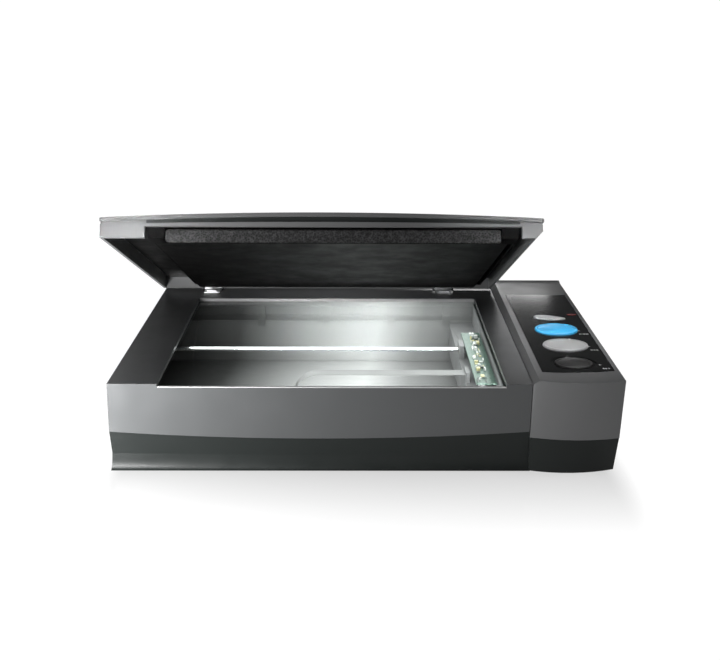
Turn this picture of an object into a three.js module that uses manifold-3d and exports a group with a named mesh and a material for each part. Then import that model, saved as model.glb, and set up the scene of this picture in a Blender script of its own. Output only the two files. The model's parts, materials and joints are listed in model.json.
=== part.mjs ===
// A flatbed book scanner with its lid standing open, in millimetres, +Z up.
// Origin: middle of the footprint on the table. X runs to the right, Y to the rear.
import * as THREE from 'three';
import { mergeVertices } from 'three/addons/utils/BufferGeometryUtils.js';
import { ConvexGeometry } from 'three/addons/geometries/ConvexGeometry.js';
import Module from 'manifold-3d';

const wasm = await Module();
wasm.setup();

// ---------- driving dimensions ----------
const WIDTH = 453;                 // overall width
const DEPTH = 285;                 // overall depth
const RIGHT = WIDTH / 2;
const REAR = DEPTH / 2;
const GAP = 0.3;                   // clearance between touching pieces
const WALL = 2.6;                  // housing wall

const FRAME_TOP = 85;              // level of the frame strips round the glass
const FRONT = -134.5;              // front edge of the frame at its top
const BODY_LEFT = -223.25;         // left edge of the frame at its top
const BODY_RIGHT = 146.6;          // right edge of the frame, beside the control column
const SEAM_Z = 40;                 // height of the housing seam at its ends
const SEAM_SAG = 6.8;              // how far the seam dips in the middle
const BASE_Z = 0.8;                // underside of the base; the feet reach 0

const GLASS = { x0: -180, x1: 124.2, y0: -132.4, y1: 98.3, top: 81.3, thick: 3 };

// the control column; its top rises from frontZ at frontY to rearZ at rearY
const COLUMN = {
  left: 147.2, crest: 151.8, seam: 34.25, frontY: -137.2, frontZ: 89.7, rearY: 136.5, rearZ: 91.1,
};

const HINGES_X = [-169, 92];        // middle of each hinge
const HINGE_Y = 131.1;
const HINGE_Z = 85.8;
const LID_OPEN = 27.31;            // degrees
const LID = { x0: -226.4, x1: 153.8, length: 266.8, edge: 17.2, crown: 22 };

const CARRIAGE = { x: 98, width: 72, y0: -126, y1: 108, bottom: 22, top: 74 };
const ROD = { y: 10, z: 60, r: 2.2 };
const BELT = { y: -20, z0: 9, z1: 14, pitchRadius: 6.6, thick: 1.2, left: -208, right: 184 };
const GEAR = { teeth: 36, pinionTeeth: 12, module: 0.75, z0: 15.2, z1: 18.6 };

// ---------- solids ----------
function solidOf(geometry) {
  const bare = geometry.clone();
  bare.deleteAttribute('normal');
  bare.deleteAttribute('uv');
  const merged = mergeVertices(bare, 1e-4);
  const mesh = new wasm.Mesh({
    numProp: 3,
    vertProperties: new Float32Array(merged.attributes.position.array),
    triVerts: new Uint32Array(merged.index.array),
  });
  return new wasm.Manifold(mesh);
}

function geometryOf(solid) {
  const mesh = solid.getMesh();
  const geometry = new THREE.BufferGeometry();
  geometry.setAttribute('position', new THREE.BufferAttribute(mesh.vertProperties, 3));
  geometry.setIndex(new THREE.BufferAttribute(mesh.triVerts, 1));
  geometry.computeVertexNormals();
  return geometry;
}

function join(...solids) {
  return solids.reduce((all, next) => all.add(next));
}

function cut(body, ...cutters) {
  return cutters.reduce((left, next) => left.subtract(next), body);
}

function box(x0, x1, y0, y1, z0, z1) {
  const geometry = new THREE.BoxGeometry(x1 - x0, y1 - y0, z1 - z0);
  geometry.translate((x0 + x1) / 2, (y0 + y1) / 2, (z0 + z1) / 2);
  return solidOf(geometry);
}

function outline(points) {
  return new THREE.Shape(points.map(([a, b]) => new THREE.Vector2(a, b)));
}

function extruded(shape, depth, curveSegments = 12) {
  return new THREE.ExtrudeGeometry(shape, { depth, bevelEnabled: false, curveSegments });
}

// a shape drawn in X and Y, raised from z0 to z1
function alongZ(shape, z0, z1, curveSegments) {
  const geometry = extruded(shape, z1 - z0, curveSegments);
  geometry.translate(0, 0, z0);
  return solidOf(geometry);
}

// a shape drawn in X and Z, run from y0 to y1
function alongY(shape, y0, y1) {
  const geometry = extruded(shape, y1 - y0);
  geometry.rotateX(Math.PI / 2);
  geometry.translate(0, y1, 0);
  return solidOf(geometry);
}

// a shape drawn in Y and Z, run from x0 to x1
function alongX(shape, x0, x1) {
  const geometry = extruded(shape, x1 - x0);
  geometry.applyMatrix4(new THREE.Matrix4().set(0, 0, 1, x0, 1, 0, 0, 0, 0, 1, 0, 0, 0, 0, 0, 1));
  return solidOf(geometry);
}

function cylinder(axis, radius, length, x, y, z, sides = 24) {
  const geometry = new THREE.CylinderGeometry(radius, radius, length, sides);
  if (axis === 'x') geometry.rotateZ(Math.PI / 2);
  if (axis === 'z') geometry.rotateX(Math.PI / 2);
  geometry.translate(x, y, z);
  return solidOf(geometry);
}

function hull(points) {
  return solidOf(new ConvexGeometry(points.map(([x, y, z]) => new THREE.Vector3(x, y, z))));
}

function roundRect(x0, x1, y0, y1, r) {
  const shape = new THREE.Shape();
  shape.moveTo(x0 + r, y0);
  shape.lineTo(x1 - r, y0);
  shape.absarc(x1 - r, y0 + r, r, -Math.PI / 2, 0);
  shape.absarc(x1 - r, y1 - r, r, 0, Math.PI / 2);
  shape.absarc(x0 + r, y1 - r, r, Math.PI / 2, Math.PI);
  shape.absarc(x0 + r, y0 + r, r, Math.PI, Math.PI * 1.5);
  return shape;
}

function oval(x, y, a, b) {
  const shape = new THREE.Shape();
  shape.absellipse(x, y, a, b, 0, Math.PI * 2);
  return shape;
}

// points of a shallow arc from (x0, v0) to (x1, v1) that bulges by sag at its middle
function bowed(x0, v0, x1, v1, sag, steps) {
  const points = [];
  for (let i = 0; i <= steps; i += 1) {
    const t = i / steps;
    points.push([x0 + (x1 - x0) * t, v0 + (v1 - v0) * t + sag * 4 * t * (1 - t)]);
  }
  return points;
}

// ---------- materials ----------
function finish(color, roughness, metalness = 0) {
  return new THREE.MeshStandardMaterial({ color, roughness, metalness });
}

const graphite = finish(0x6a6b6b, 0.42, 0.35);
const frameGrey = finish(0x55575a, 0.45, 0.3);
const charcoal = finish(0x2b2f2e, 0.5);
const glossBlack = finish(0x0a0b0b, 0.12);
const satinBlack = finish(0x151515, 0.55);
const carriageGrey = finish(0x8d8f90, 0.55);
const clearGlass = finish(0xc8d2d0, 0.03);
clearGlass.transparent = true;
clearGlass.opacity = 0.35;
const blueCap = finish(0x3fb0e6, 0.35);
const greyCap = finish(0x97999a, 0.4);
const silverCap = finish(0xc9cbcc, 0.3, 0.4);
const redLens = finish(0xb3201c, 0.25);
const steel = finish(0xd3d5d6, 0.18, 1);
const zinc = finish(0xa9adae, 0.35, 1);
const whiteStrip = finish(0xf0f0ee, 0.6);
const foamBlack = finish(0x2a2a2b, 0.95);
const boardGreen = finish(0x2f7a55, 0.5);
const rubber = finish(0x1b1b1b, 0.85);
const nylon = finish(0xe4e2d8, 0.5);
const brass = finish(0xb59a58, 0.3, 1);
const mirror = finish(0xe8ecee, 0.02, 1);

const scanner = new THREE.Group();

function place(name, solid, material, parent = scanner) {
  const mesh = new THREE.Mesh(geometryOf(solid), material);
  mesh.name = name;
  parent.add(mesh);
  return mesh;
}

// ---------- the housing ----------
function seamOutline(x0, x1, top) {
  const low = bowed(x1, SEAM_Z, x0, SEAM_Z, -SEAM_SAG, 20);
  return outline([[x0, top], ...low.reverse(), [x1, top]]);
}

function upperHousing() {
  const seamLow = SEAM_Z - SEAM_SAG - 1;
  const outer = hull([
    [BODY_LEFT, FRONT, FRAME_TOP], [BODY_RIGHT, FRONT, FRAME_TOP],
    [BODY_LEFT, REAR, FRAME_TOP], [BODY_RIGHT, REAR, FRAME_TOP],
    [BODY_LEFT - 1.9, FRONT - 1.7, seamLow], [BODY_RIGHT, FRONT - 1.7, seamLow],
    [BODY_LEFT - 1.9, REAR, seamLow], [BODY_RIGHT, REAR, seamLow],
  ]);
  const bounded = outer.intersect(alongY(seamOutline(-230, BODY_RIGHT, 90), -140, REAR));
  const hollow = box(BODY_LEFT + WALL, BODY_RIGHT + 1, -132, REAR - WALL, 0, GLASS.top + GAP);
  const window = box(GLASS.x0, GLASS.x1, FRONT - 4, GLASS.y1, GLASS.top, FRAME_TOP + 1);
  const pockets = HINGES_X.map((x) => hingePocket(x));
  const shell = cut(bounded, hollow, window);
  const seats = HINGES_X.map((x) => hingeSeat(x));
  return cut(join(shell, rearSkirt(), frontReturn(), ...seats), ...pockets);
}

// the wall that hangs down behind the glass, with its stiffening ribs
const SKIRT = { y: 111.6, thick: 2, bottom: 54, ribBottom: 48, ribsX: [-113.5, -40, 33, 95] };

function rearSkirt() {
  const top = GLASS.top + GAP + 0.2;
  const glassUnderside = GLASS.top - GLASS.thick;
  const wall = box(BODY_LEFT + 1, BODY_RIGHT - 4, SKIRT.y, SKIRT.y + SKIRT.thick, SKIRT.bottom, top);
  const ribs = SKIRT.ribsX.map((x) => (
    box(x - 4.5, x + 4.5, SKIRT.y - 1.6, SKIRT.y + SKIRT.thick - 0.4, SKIRT.ribBottom, glassUnderside - 0.4)
  ));
  return join(wall, ...ribs);
}

// the short return that closes the body's front right corner beside the column
function frontReturn() {
  return box(BODY_RIGHT - 2, BODY_RIGHT, -133, -129.5, SEAM_Z + 1, GLASS.top + 1);
}

function lowerBody() {
  const foot = -136.1;
  const crease = { y: -131, z: 16.4 };
  const front = [[REAR, BASE_Z], [foot, BASE_Z]];
  // concave skirt from the foot up to the crease
  const rise = (crease.z - BASE_Z) * 0.9;
  for (let i = 1; i <= 5; i += 1) {
    const turn = (i / 6) * Math.PI / 2;
    front.push([foot + (crease.y - foot) * Math.sin(turn), BASE_Z + rise * (1 - Math.cos(turn))]);
  }
  front.push([crease.y, crease.z], [-135.2, SEAM_Z + 1], [REAR, SEAM_Z + 1]);
  const alongWidth = alongX(outline(front), -RIGHT, 150);
  const side = bowed(-225, SEAM_Z - 0.5, 144, SEAM_Z - 0.5, -SEAM_SAG, 20);
  const columnSide = 149.5;
  const across = outline([[-RIGHT, BASE_Z], [-RIGHT + 1.2, 15], [-225.2, crease.z], ...side,
    [BODY_RIGHT, SEAM_Z - 0.5], [BODY_RIGHT, COLUMN.seam - 0.5],
    [columnSide, COLUMN.seam - 0.5], [columnSide, BASE_Z]]);
  return alongWidth.intersect(alongY(across, -140, REAR));
}

function columnRing(z, left, right, frontLeft, frontMid, frontRight, rear) {
  const front = bowed(left, frontLeft, right, frontRight, frontMid - (frontLeft + frontRight) / 2, 8);
  return [...front, [right, rear], [left, rear]].map(([x, y]) => [x, y, z]);
}

function columnBase() {
  const top = COLUMN.seam - 0.5;
  return hull([
    ...columnRing(top, COLUMN.left + 0.3, RIGHT - 0.2, -135.4, -140.8, -136.4, REAR),
    ...columnRing(BASE_Z, 148.75, 225.2, -135.2, -139.6, -132.6, REAR),
  ]);
}

function lowerHousing() {
  const floor = 5;
  const tray = box(-221.8, 148, -128.3, REAR - WALL, floor, 60);
  const bay = box(146, RIGHT - WALL - 1.8, -129.5, REAR - WALL, floor, 60);
  const footPockets = FEET.map(([x, y]) => cylinder('z', 7.4, 2.4, x, y, BASE_Z, 20));
  const lockSlot = box(-195, -185, -72, -48, -1, floor + 1);
  const shell = cut(join(lowerBody(), columnBase()), tray, bay, ...footPockets, lockSlot);
  const bosses = SCREWS.map(([x, y]) => cylinder('z', 4, 26, x, y, floor + 12.8, 12));
  const bores = SCREWS.map(([x, y]) => cylinder('z', 1.9, 60, x, y, 20, 10));
  const heads = SCREWS.map(([x, y]) => cylinder('z', 3.6, 6, x, y, BASE_Z, 12));
  const posts = BOARD_POSTS.map(([x, y]) => cylinder('z', 3, 41, x, y, BOARD_Z - GAP - 20.5, 10));
  return join(cut(join(shell, ...bosses), ...bores, ...heads), ...posts);
}

const FEET = [[-206, -108], [206, -108], [-206, 118], [206, 118]];
const SCREWS = [[-212, -122], [-212, 132], [134, 132], [216, -122]];
const BOARD_POSTS = [[181, -56], [217, -56], [181, 128], [217, 128]];

const COLUMN_SLOPE = (COLUMN.rearZ - COLUMN.frontZ) / (COLUMN.rearY - COLUMN.frontY);

function columnTopZ(y) {
  return COLUMN.frontZ + (y - COLUMN.frontY) * COLUMN_SLOPE;
}

// lays a piece that is drawn on the plane z = 0 onto the column's slightly sloping top
function onColumn(solid) {
  const geometry = geometryOf(solid);
  geometry.translate(0, -COLUMN.frontY, 0);
  geometry.rotateX(Math.atan(COLUMN_SLOPE));
  geometry.translate(0, COLUMN.frontY, COLUMN.frontZ);
  return solidOf(geometry);
}

const INLAY = { x0: 157.5, x1: 222.3, y0: -117.5, y1: 93.4, skew: 2.8, bow: 3.4, thick: 1.2 };
const BUTTONS = {
  scan_button: { x: 191, y: 19.6, a: 16.4, b: 6.3 },
  blue_button: { x: 191, y: -14.1, a: 21, b: 15.2 },
  grey_button: { x: 191.2, y: -55.9, a: 21.2, b: 14.9 },
  black_button: { x: 189.8, y: -98, a: 17.4, b: 12.8 },
};
const DISH = { x: 189.5, y: -98.3, a: 21.2, b: 15.8, deep: 0.4 };   // hollow round the black button
const LENS = { x: 215.8, y: 29.5, a: 5, b: 1.6 };

function inlayOutline(grow) {
  const left = INLAY.y0 - grow;
  const right = left + INLAY.skew;
  const front = bowed(INLAY.x0 - grow, left, INLAY.x1 + grow, right, -INLAY.bow, 12);
  return outline([...front, [INLAY.x1 + grow, INLAY.y1 + grow], [INLAY.x0 - grow, INLAY.y1 + grow]]);
}

function buttonHole(button, z0, z1, clearance) {
  return alongZ(oval(button.x, button.y, button.a + clearance, button.b + clearance), z0, z1);
}

function panelCover() {
  const front = bowed(COLUMN.crest, COLUMN.frontY, RIGHT, COLUMN.frontY, -5.3, 8);
  const outer = hull([
    ...front.map(([x, y]) => [x, y, columnTopZ(y)]),
    [COLUMN.crest, REAR, columnTopZ(REAR)], [RIGHT - 0.4, REAR, columnTopZ(REAR)],
    [COLUMN.left, -134.6, FRAME_TOP], [COLUMN.left, REAR, FRAME_TOP],
    ...columnRing(COLUMN.seam, COLUMN.left, RIGHT - 0.1, -135.6, -141.3, -136.8, REAR),
  ]);
  const inner = hull([
    ...columnRing(COLUMN.seam - 1, 149.8, RIGHT - WALL, -131.5, -137.6, -133, REAR - WALL),
    ...columnRing(84, 149.8, RIGHT - WALL, -131.5, -138, -133, REAR - WALL),
    ...columnRing(86.2, 153.8, RIGHT - WALL - 1, -131.5, -137.4, -133, 134),
  ]);
  const ridgeFoot = 134.8;
  const ridge = hull([COLUMN.crest, RIGHT - 0.4].flatMap((x) => [
    [x, ridgeFoot, columnTopZ(ridgeFoot)], [x, ridgeFoot, 88],
    [x, REAR, columnTopZ(REAR) + 1.4], [x, REAR, 88],
  ]));
  const doorway = box(146, 151, -129, 116, 30, 79);
  const recess = onColumn(alongZ(inlayOutline(GAP), -INLAY.thick, 3));
  const holes = Object.values(BUTTONS).map((button) => onColumn(buttonHole(button, -12, 3, 0.6)));
  const lensHole = onColumn(buttonHole(LENS, -12, 3, 0.5));
  const usb = box(USB.x - 6.8, USB.x + 6.8, REAR - 4, REAR + 1, USB.z - 0.5, USB.z + 11.5);
  const power = box(DC.x - 5.4, DC.x + 5.4, REAR - 4, REAR + 1, DC.z - 0.5, DC.z + 11.5);
  return cut(join(outer, ridge), inner, doorway, recess, ...holes, lensHole, usb, power);
}

function controlInlay() {
  const sheet = alongZ(inlayOutline(0), -INLAY.thick + GAP, 0.4, 16);
  const holes = Object.values(BUTTONS).map((button) => buttonHole(button, -3, 3, 0.5));
  const dish = alongZ(oval(DISH.x, DISH.y, DISH.a, DISH.b), -DISH.deep, 3);
  return onColumn(cut(sheet, dish, ...holes, buttonHole(LENS, -3, 3, 0.3)));
}

const SWITCH_TOP = -16.8;            // top of the switches, below the column's top
const CAP_BEVEL = 0.8;

function buttonCap(button, height) {
  const top = oval(button.x, button.y, button.a - CAP_BEVEL, button.b - CAP_BEVEL);
  const cap = new THREE.ExtrudeGeometry(top, {
    depth: height + 2.6, bevelSize: CAP_BEVEL, bevelThickness: 0.7, bevelSegments: 2, curveSegments: 14,
  });
  cap.translate(0, 0, -3.3);
  const stem = cylinder('z', 2.6, 14, button.x, button.y, -8.4, 12);
  return onColumn(join(solidOf(cap), stem));
}

function scanWindowPane() {
  return box(GLASS.x0 - 6, GLASS.x1 + 6, -131.7, GLASS.y1 + 11.4, GLASS.top - GLASS.thick, GLASS.top);
}

function buttonBoard() {
  return onColumn(box(172, 218, -120, 44, -22.2, -20.6));
}

function tactSwitch(button) {
  const body = box(button.x - 3, button.x + 3, button.y - 3, button.y + 3, -20.3, -17.9);
  const plunger = cylinder('z', 1.6, 1.4, button.x, button.y, SWITCH_TOP - 0.7, 10);
  return onColumn(join(body, plunger));
}

// ---------- base fittings ----------
const USB = { x: 188, z: 48.2 };
const DC = { x: 208, z: 48.2 };
const BOARD_Z = 46;

function footPad(x, y) {
  return join(cylinder('z', 6.2, 1.2, x, y, 0.6, 20), cylinder('z', 7, 0.6, x, y, 1.4, 20));
}

function travelLock() {
  const knob = box(-194.6, -185.4, -71.6, -60.5, 1.2, 6);
  return join(knob, box(-199, -181, -71.6, -60.5, 5.3, 7.2));
}

function usbSocket() {
  const shell = box(USB.x - 6, USB.x + 6, REAR - 17, REAR - 0.6, USB.z, USB.z + 11);
  const mouth = box(USB.x - 4.2, USB.x + 4.2, REAR - 9.5, REAR, USB.z + 1.6, USB.z + 9.4);
  const tongue = box(USB.x - 2.8, USB.x + 2.8, REAR - 10, REAR - 2.2, USB.z + 4, USB.z + 7);
  return join(cut(shell, mouth), tongue);
}

function powerSocket() {
  const body = box(DC.x - 4.6, DC.x + 4.6, REAR - 15, REAR - 0.6, DC.z, DC.z + 11);
  const bore = cylinder('y', 2.9, 20, DC.x, REAR, DC.z + 6, 20);
  return join(cut(body, bore), cylinder('y', 0.8, 9, DC.x, REAR - 7, DC.z + 6, 10));
}

function mainBoard() {
  return box(176, 221, -62, REAR - 5, BOARD_Z, BOARD_Z + 1.6);
}

// ---------- guide rod and drive ----------
function rodBracket(x0, x1) {
  const post = box(x0, x1, ROD.y - 8, ROD.y + 8, 5.3, ROD.z + 6);
  const foot = box(x0, x1, ROD.y - 14, ROD.y + 14, 5.3, 12);
  return cut(join(post, foot), cylinder('x', ROD.r + GAP, 20, (x0 + x1) / 2, ROD.y, ROD.z, 20));
}

function guideRod() {
  return cylinder('x', ROD.r, 394, -22.5, ROD.y, ROD.z, 20);
}

const PULLEY_R = BELT.pitchRadius - BELT.thick / 2 - GAP;

function driveBelt() {
  const loop = (r) => roundRect(BELT.left - r, BELT.right + r, BELT.y - r, BELT.y + r, r - 0.01);
  const inner = BELT.pitchRadius - BELT.thick / 2;
  return cut(alongZ(loop(inner + BELT.thick), BELT.z0, BELT.z1, 8), alongZ(loop(inner), 0, 20, 8));
}

function toothedOutline(x, y, teeth, turn) {
  const pitch = GEAR.module * teeth / 2;
  const points = [];
  const ring = [[-0.3, -1.0], [-0.13, 0.5], [0.13, 0.5], [0.3, -1.0]];
  for (let i = 0; i < teeth; i += 1) {
    for (const [share, rise] of ring) {
      const angle = ((i + share) / teeth) * Math.PI * 2 + turn;
      const radius = pitch + rise;
      points.push([x + radius * Math.cos(angle), y + radius * Math.sin(angle)]);
    }
  }
  return outline(points);
}

const GEAR_SPACING = GEAR.module * (GEAR.teeth + GEAR.pinionTeeth) / 2 + 0.2;
const MOTOR_X = BELT.right + GEAR_SPACING;

function driveGear() {
  const teeth = toothedOutline(BELT.right, BELT.y, GEAR.teeth, Math.PI / GEAR.teeth);
  const gear = alongZ(teeth, GEAR.z0, GEAR.z1);
  const pulley = cylinder('z', PULLEY_R, 7, BELT.right, BELT.y, 12, 24);
  return cut(join(gear, pulley), cylinder('z', 1.8, 30, BELT.right, BELT.y, 12, 12));
}

function motorPinion() {
  const teeth = toothedOutline(MOTOR_X, BELT.y, GEAR.pinionTeeth, 0);
  const pinion = alongZ(teeth, GEAR.z0 - 0.6, GEAR.z1 + 0.6);
  return cut(pinion, cylinder('z', 1.3, 30, MOTOR_X, BELT.y, 12, 12));
}

function gearPlate() {
  const plate = box(172.5, 219, -44, 1.5, 20, 21.5);
  const holes = cylinder('z', 1.4, 10, MOTOR_X, BELT.y, 20, 12);
  const stud = cylinder('z', 1.4, 14.5, BELT.right, BELT.y, 13.4, 12);
  const legs = [[214, -40], [214, -2]].map(([x, y]) => cylinder('z', 2.5, 15.2, x, y, 12.9, 10));
  return join(cut(plate, holes), stud, ...legs);
}

function stepperMotor() {
  const can = cylinder('z', 16, 18, MOTOR_X, BELT.y, 31, 28);
  return join(can, cylinder('z', 1, 13, MOTOR_X, BELT.y, 17, 10));
}

function idlerBracket() {
  const base = box(BELT.left - 9, BELT.left + 9, BELT.y - 5, BELT.y + 5, 5.3, 7.6);
  return join(base, cylinder('z', 1.4, 9, BELT.left, BELT.y, 11, 12));
}

function idlerPulley() {
  const wheel = cylinder('z', PULLEY_R, 6.4, BELT.left, BELT.y, 11.4, 24);
  return cut(wheel, cylinder('z', 1.8, 30, BELT.left, BELT.y, 11, 12));
}

// a thin strip that follows a line drawn in X and Z
function ribbon(path, thick) {
  const sides = [1, -1].map((side) => path.map(([x, z], i) => {
    const [ax, az] = path[Math.max(i - 1, 0)];
    const [bx, bz] = path[Math.min(i + 1, path.length - 1)];
    const length = Math.hypot(bx - ax, bz - az);
    return [x - side * thick / 2 * (bz - az) / length, z + side * thick / 2 * (bx - ax) / length];
  }));
  return outline([...sides[0], ...sides[1].reverse()]);
}

function turnPoints(x, z, r, from, to, steps) {
  return Array.from({ length: steps + 1 }, (unused, i) => {
    const angle = (from + (to - from) * i / steps) * Math.PI / 180;
    return [x + r * Math.cos(angle), z + r * Math.sin(angle)];
  });
}

const FLAT_CABLE = { y0: -56.5, y1: -44.5, low: 6.4, high: ROD.z, loopX: -42, thick: 0.4 };

function flatCable() {
  const radius = (FLAT_CABLE.high - FLAT_CABLE.low) / 2;
  const corner = 3;
  const path = [
    ...turnPoints(174.6, BOARD_Z + 0.4, corner, 90, 180, 6),
    ...turnPoints(171.6 - corner, FLAT_CABLE.low + corner, corner, 0, -90, 6),
    ...turnPoints(FLAT_CABLE.loopX, FLAT_CABLE.low + radius, radius, 270, 90, 16),
    [CARRIAGE.x - GAP, FLAT_CABLE.high],
  ];
  return alongY(ribbon(path, FLAT_CABLE.thick), FLAT_CABLE.y0, FLAT_CABLE.y1);
}

function flatCableSocket() {
  return box(175, 181, FLAT_CABLE.y0 - 1.5, FLAT_CABLE.y1 + 1.5, BOARD_Z + 1.9, BOARD_Z + 5);
}

// ---------- the scanning carriage ----------
const MAIN_X = CARRIAGE.x + 26;      // where the tall part of the carriage begins
const SLIT = { x0: CARRIAGE.x + 30, x1: CARRIAGE.x + 36 };

function carriageHousing() {
  const right = CARRIAGE.x + CARRIAGE.width;
  const profile = outline([[CARRIAGE.x, CARRIAGE.bottom], [right, CARRIAGE.bottom], [right, CARRIAGE.top],
    [MAIN_X, CARRIAGE.top], [MAIN_X, 53], [CARRIAGE.x, 53]]);
  const body = alongY(profile, CARRIAGE.y0, CARRIAGE.y1);
  const bearing = box(CARRIAGE.x, CARRIAGE.x + 5, ROD.y - 9, ROD.y + 9, 52, ROD.z + 7);
  const cableGrip = box(CARRIAGE.x, CARRIAGE.x + 4, FLAT_CABLE.y0 - 2, FLAT_CABLE.y1 + 2, 52, ROD.z + 3);
  const posts = [-88, -30, 34].map((y) => box(CARRIAGE.x + 8, CARRIAGE.x + 14, y - 3, y + 3, 52, 65.7));
  const cavity = box(MAIN_X + 3, right - 3, CARRIAGE.y0 + 4, CARRIAGE.y1 - 4, 26, 80);
  const tunnel = cylinder('x', ROD.r + 2, 90, CARRIAGE.x + 40, ROD.y, ROD.z, 24);
  return cut(join(body, bearing, cableGrip, ...posts), cavity, tunnel);
}

function bushing(x0, x1) {
  const ring = cylinder('x', ROD.r + 2 - GAP, x1 - x0, (x0 + x1) / 2, ROD.y, ROD.z, 24);
  return cut(ring, cylinder('x', ROD.r + 0.1, 40, (x0 + x1) / 2, ROD.y, ROD.z, 24));
}

function carriageCover() {
  const right = CARRIAGE.x + CARRIAGE.width;
  const plate = box(MAIN_X, right, CARRIAGE.y0, CARRIAGE.y1, CARRIAGE.top + GAP, CARRIAGE.top + 1.8);
  return cut(plate, box(SLIT.x0, SLIT.x1, CARRIAGE.y0 + 7, CARRIAGE.y1 - 7, 70, 80));
}

function lampTube() {
  return cylinder('y', 1.4, 218, SLIT.x1 + 4, -9, 70.5, 12);
}

function lampReflector() {
  const path = turnPoints(SLIT.x1 + 4, 70.5, 2.6, -10, -210, 10);
  return alongY(ribbon(path, 0.5), -117, 99);
}

// a mirror strip leaning at the given angle
function mirrorStrip(x, z, width, lean) {
  const geometry = new THREE.BoxGeometry(width, 214, 1.8);
  geometry.rotateY(lean * Math.PI / 180);
  geometry.translate(x, -9, z);
  return solidOf(geometry);
}

function lensBlock() {
  return join(box(138, 150, -18, 0, 42, 58), cylinder('x', 4, 10, 134, -9, 50, 16));
}

function sensorBoard() {
  return box(CARRIAGE.x + 5.4, CARRIAGE.x + 24.4, -93, 38, 66, 67.6);
}

function beltClamp() {
  const grip = BELT.y + BELT.pitchRadius;
  const block = box(CARRIAGE.x + 30, CARRIAGE.x + 42, grip - 4.2, grip + 3.4, 8.2, CARRIAGE.bottom - GAP);
  return cut(block, box(0, 200, grip - 1.2, grip + 1.2, 8, BELT.z1 + 0.6));
}

function slidePad(x, y) {
  return cylinder('z', 3, 1.7, x, y, CARRIAGE.top + 1.8 + GAP + 0.85, 14);
}

function calibrationStrip() {
  const top = GLASS.top - GLASS.thick - GAP;
  return box(GLASS.x1 + 1.5, BODY_RIGHT - 3, -114, 99, top - 0.5, top);
}

// ---------- hinges ----------
const POCKET = { front: HINGE_Y - 6.3, rear: HINGE_Y + 6.7, floor: 82.2 };
const LEAF = { half: 8.6, bottom: POCKET.floor + GAP, thick: 1, front: HINGE_Y - 15.6 };

function hingePocket(x) {
  return box(x - 12, x + 12, POCKET.front, POCKET.rear, POCKET.floor, FRAME_TOP + 1);
}

function hingeSeat(x) {
  return box(x - 14, x + 14, POCKET.front - 1.7, POCKET.rear + 1.8, POCKET.floor - 2.7, POCKET.floor);
}

// the fixed leaf: it lies in its pocket, steps up and reaches forward over the frame to a rolled bead
function hingeBaseLeaf(x) {
  const x0 = x - LEAF.half;
  const x1 = x + LEAF.half;
  const step = { y0: POCKET.front + GAP, z0: FRAME_TOP + GAP };
  const low = box(x0, x1, step.y0, HINGE_Y + 6.2, LEAF.bottom, LEAF.bottom + LEAF.thick);
  const riser = box(x0, x1, step.y0, step.y0 + LEAF.thick, LEAF.bottom, step.z0 + LEAF.thick);
  const tongue = box(x0, x1, LEAF.front, step.y0 + LEAF.thick, step.z0, step.z0 + LEAF.thick);
  const bead = cylinder('x', 1, 11, x, LEAF.front + 3.2, step.z0 + LEAF.thick + 0.7, 16);
  const web = box(x - 3.4, x + 3.4, HINGE_Y + 0.5, HINGE_Y + 2, LEAF.bottom, HINGE_Z);
  const knuckle = cylinder('x', 2.2, 6.8, x, HINGE_Y, HINGE_Z, 20);
  const bore = cylinder('x', 1.15, 20, x, HINGE_Y, HINGE_Z, 16);
  return cut(join(low, riser, tongue, bead, web, knuckle), bore);
}

// drawn about the hinge axis with the lid closed
function hingeLidLeaf(x) {
  const plate = box(x - 9, x + 9, -4.4, -3.4, 0.8, 10);
  const parts = [-6.4, 6.4].flatMap((shift) => [
    cylinder('x', 2, 5.2, x + shift, 0, 0, 20),
    box(x + shift - 2.6, x + shift + 2.6, -4, -1.2, 0.8, 1.8),
  ]);
  return cut(join(plate, ...parts), cylinder('x', 1.15, 30, x, 0, 0, 16));
}

function hingePin(x) {
  return cylinder('x', 0.8, 20.4, x, HINGE_Y, HINGE_Z, 12);
}

// ---------- the lid, drawn closed, with the hinge axis at y = 0 and z = 0 ----------
const LID_RIM = { left: -225.2, right: 152.2, foot: 145.9, back: -0.5, front: -265.4 };
const NOTCH = { x0: -187.2, x1: 134.3, height: 10 };
const LIP = 3.3;                      // height of the lip along the lid's top edge
const LIP_FOOT = 14;                  // where the lip starts on the lid's sides
const LID_WALL = 2.6;
const LID_CORNER = 4;                 // radius of the lid's front corners

function lidTop(drop, steps = 24) {
  return bowed(LID.x1, LID.edge - drop, LID.x0, LID.edge - drop, LID.crown - LID.edge, steps);
}

// the lid's outline from above, with its two front corners rounded
function lidPlan() {
  const shape = new THREE.Shape();
  shape.moveTo(LID.x1, LID_RIM.back);
  shape.lineTo(LID.x0, LID_RIM.back);
  shape.lineTo(LID.x0, -LID.length + LID_CORNER);
  shape.absarc(LID.x0 + LID_CORNER, -LID.length + LID_CORNER, LID_CORNER, Math.PI, Math.PI * 1.5);
  shape.absarc(LID.x1 - LID_CORNER, -LID.length + LID_CORNER, LID_CORNER, -Math.PI / 2, 0);
  return shape;
}

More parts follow.
